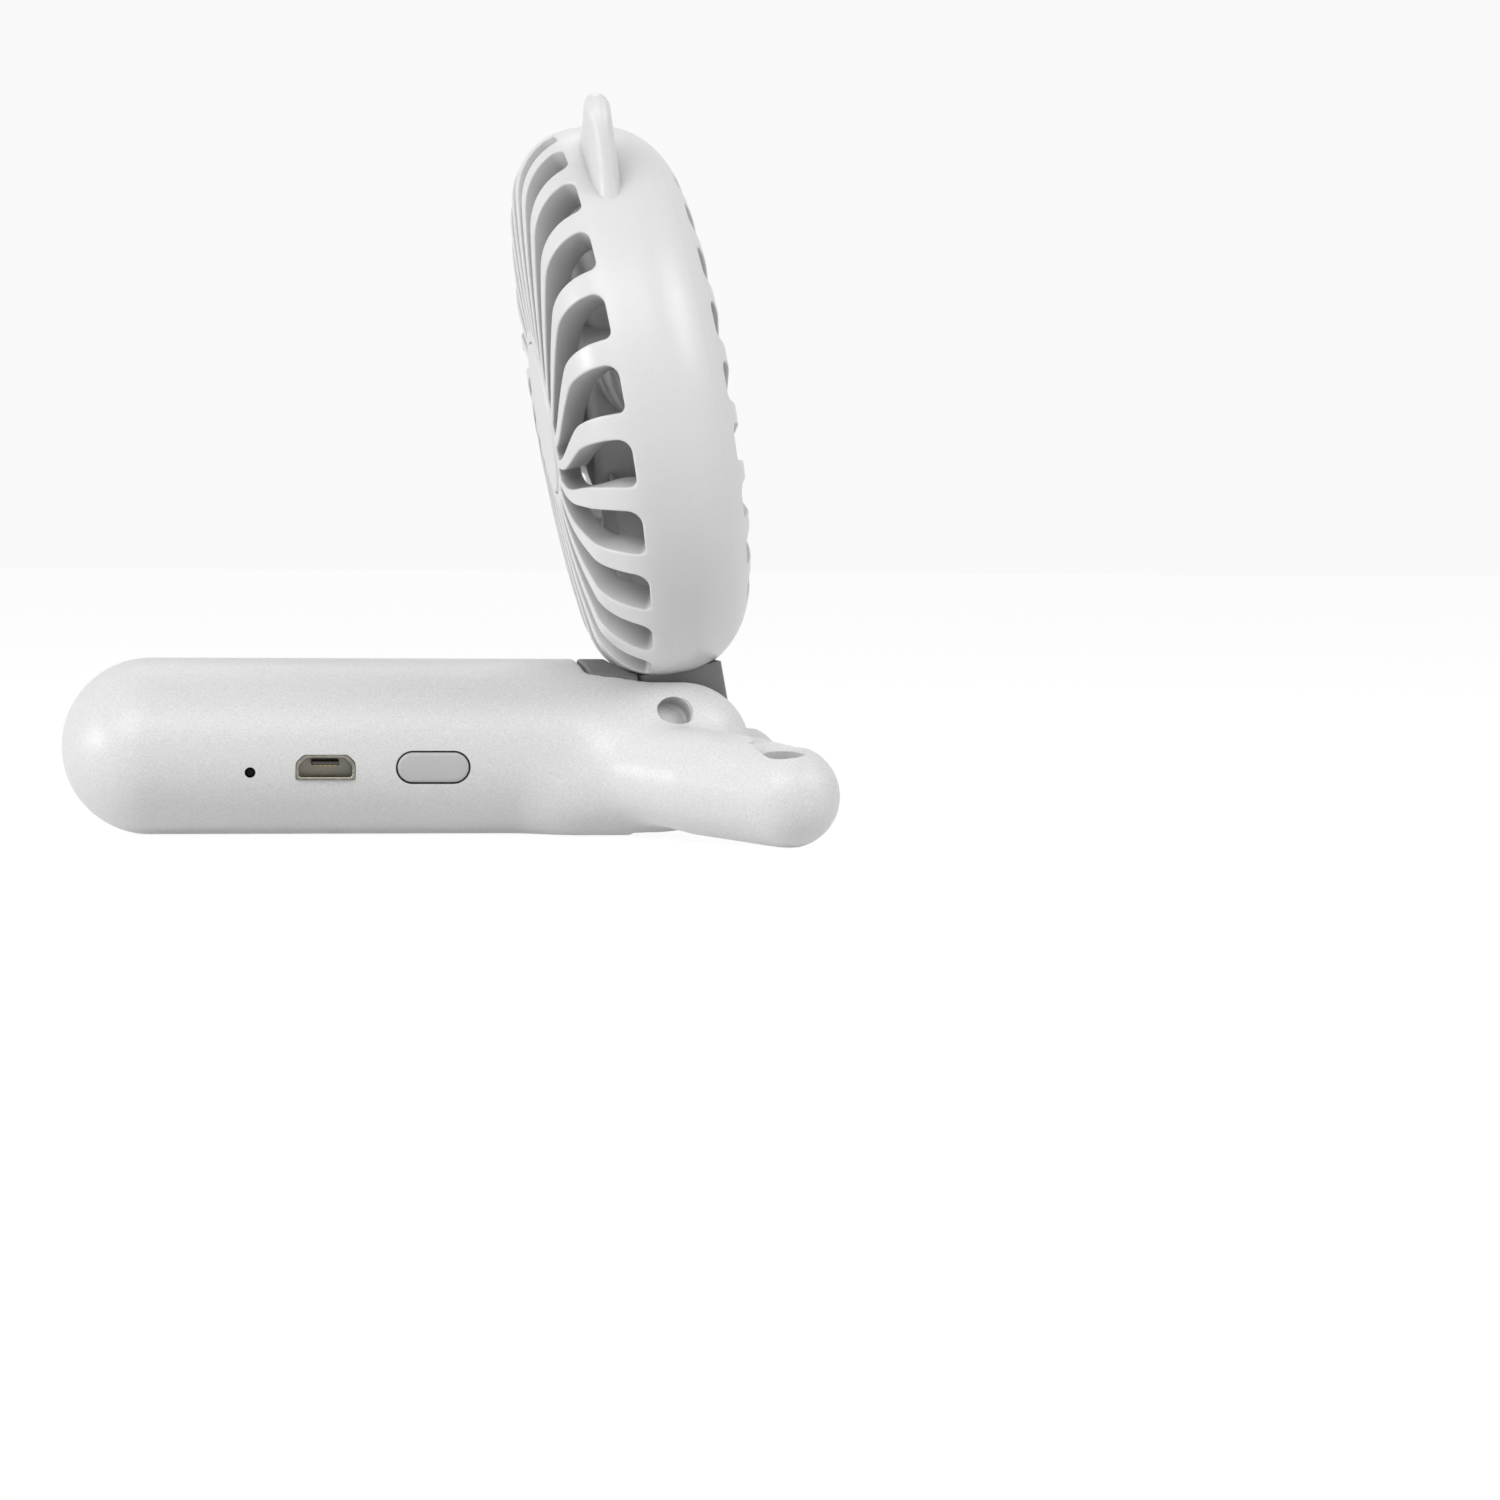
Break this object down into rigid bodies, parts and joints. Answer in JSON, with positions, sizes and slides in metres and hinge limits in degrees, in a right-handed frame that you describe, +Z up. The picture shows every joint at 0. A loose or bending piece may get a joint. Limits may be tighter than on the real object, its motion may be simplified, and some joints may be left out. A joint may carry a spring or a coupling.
{
  "type": "folding handheld fan",
  "caption": "Folding handheld fan: a round eared head with swirl grilles, hinged on a forked handle whose feet steady it on a desk, with a side button and a charging socket.",
  "frame": {"origin": "on the flat under the handle, where the fan rests on a desk, 46 mm behind the fold hinge and beside the seam of the two handle shells", "axes": "+X along the handle from its tail to the fork, +Y to the side away from the button and the charging socket, +Z up"},
  "size_m": [0.1067, 0.0792, 0.1026],
  "materials": {
    "white_plastic": "satin, very fine grain",
    "button_plastic": "satin",
    "impeller_plastic": "satin",
    "grey_plastic": "satin",
    "black_plastic": "matte",
    "led_window": "gloss",
    "nickel": "plated",
    "steel": "plain",
    "brass": "sintered",
    "board": "solder mask",
    "cell": "shrink wrap"
  },
  "bodies": {
    "handle": {"handle_shell_right": "white_plastic", "handle_shell_left": "white_plastic", "power_switch": "black_plastic", "charge_led": "led_window", "usb_socket_shell": "nickel", "usb_socket_tongue": "black_plastic", "circuit_board": "board", "battery_cell": "cell", "battery_tab_front": "nickel", "battery_tab_rear": "nickel", "hinge_block": "grey_plastic", "hinge_axle": "steel", "friction_washer_right": "black_plastic", "friction_washer_left": "black_plastic", "case_screw_tail": "steel", "case_screw_top": "steel", "case_screw_bottom": "steel"},
    "button": {"power_button": "button_plastic"},
    "head": {"front_shell": "white_plastic", "rear_grille": "white_plastic", "hub_cap": "white_plastic", "motor_end_bell": "black_plastic", "motor_can": "steel", "motor_bush": "brass", "motor_screw_1": "steel", "motor_screw_2": "steel", "hinge_neck": "grey_plastic", "neck_screw_1": "steel", "neck_screw_2": "steel"},
    "rotor": {"impeller": "impeller_plastic", "motor_shaft": "steel"}
  },
  "joints": [
    {"name": "head_fold", "type": "hinge", "parent": "handle", "child": "head", "pos_m": [0.046, 0, 0.01235], "axis": [0, 1, 0], "range_deg": [0, 190]},
    {"name": "impeller_spin", "type": "hinge", "parent": "head", "child": "rotor", "pos_m": [0.03665, 0, 0.06137], "axis": [-0.9836, 0, -0.1805], "continuous": true},
    {"name": "button_press", "type": "slide", "parent": "handle", "child": "button", "axis": [0, 1, 0], "range_m": [0, 0.0006], "stiffness_N_per_m": 1500, "springref_m": -0.0003}
  ]
}
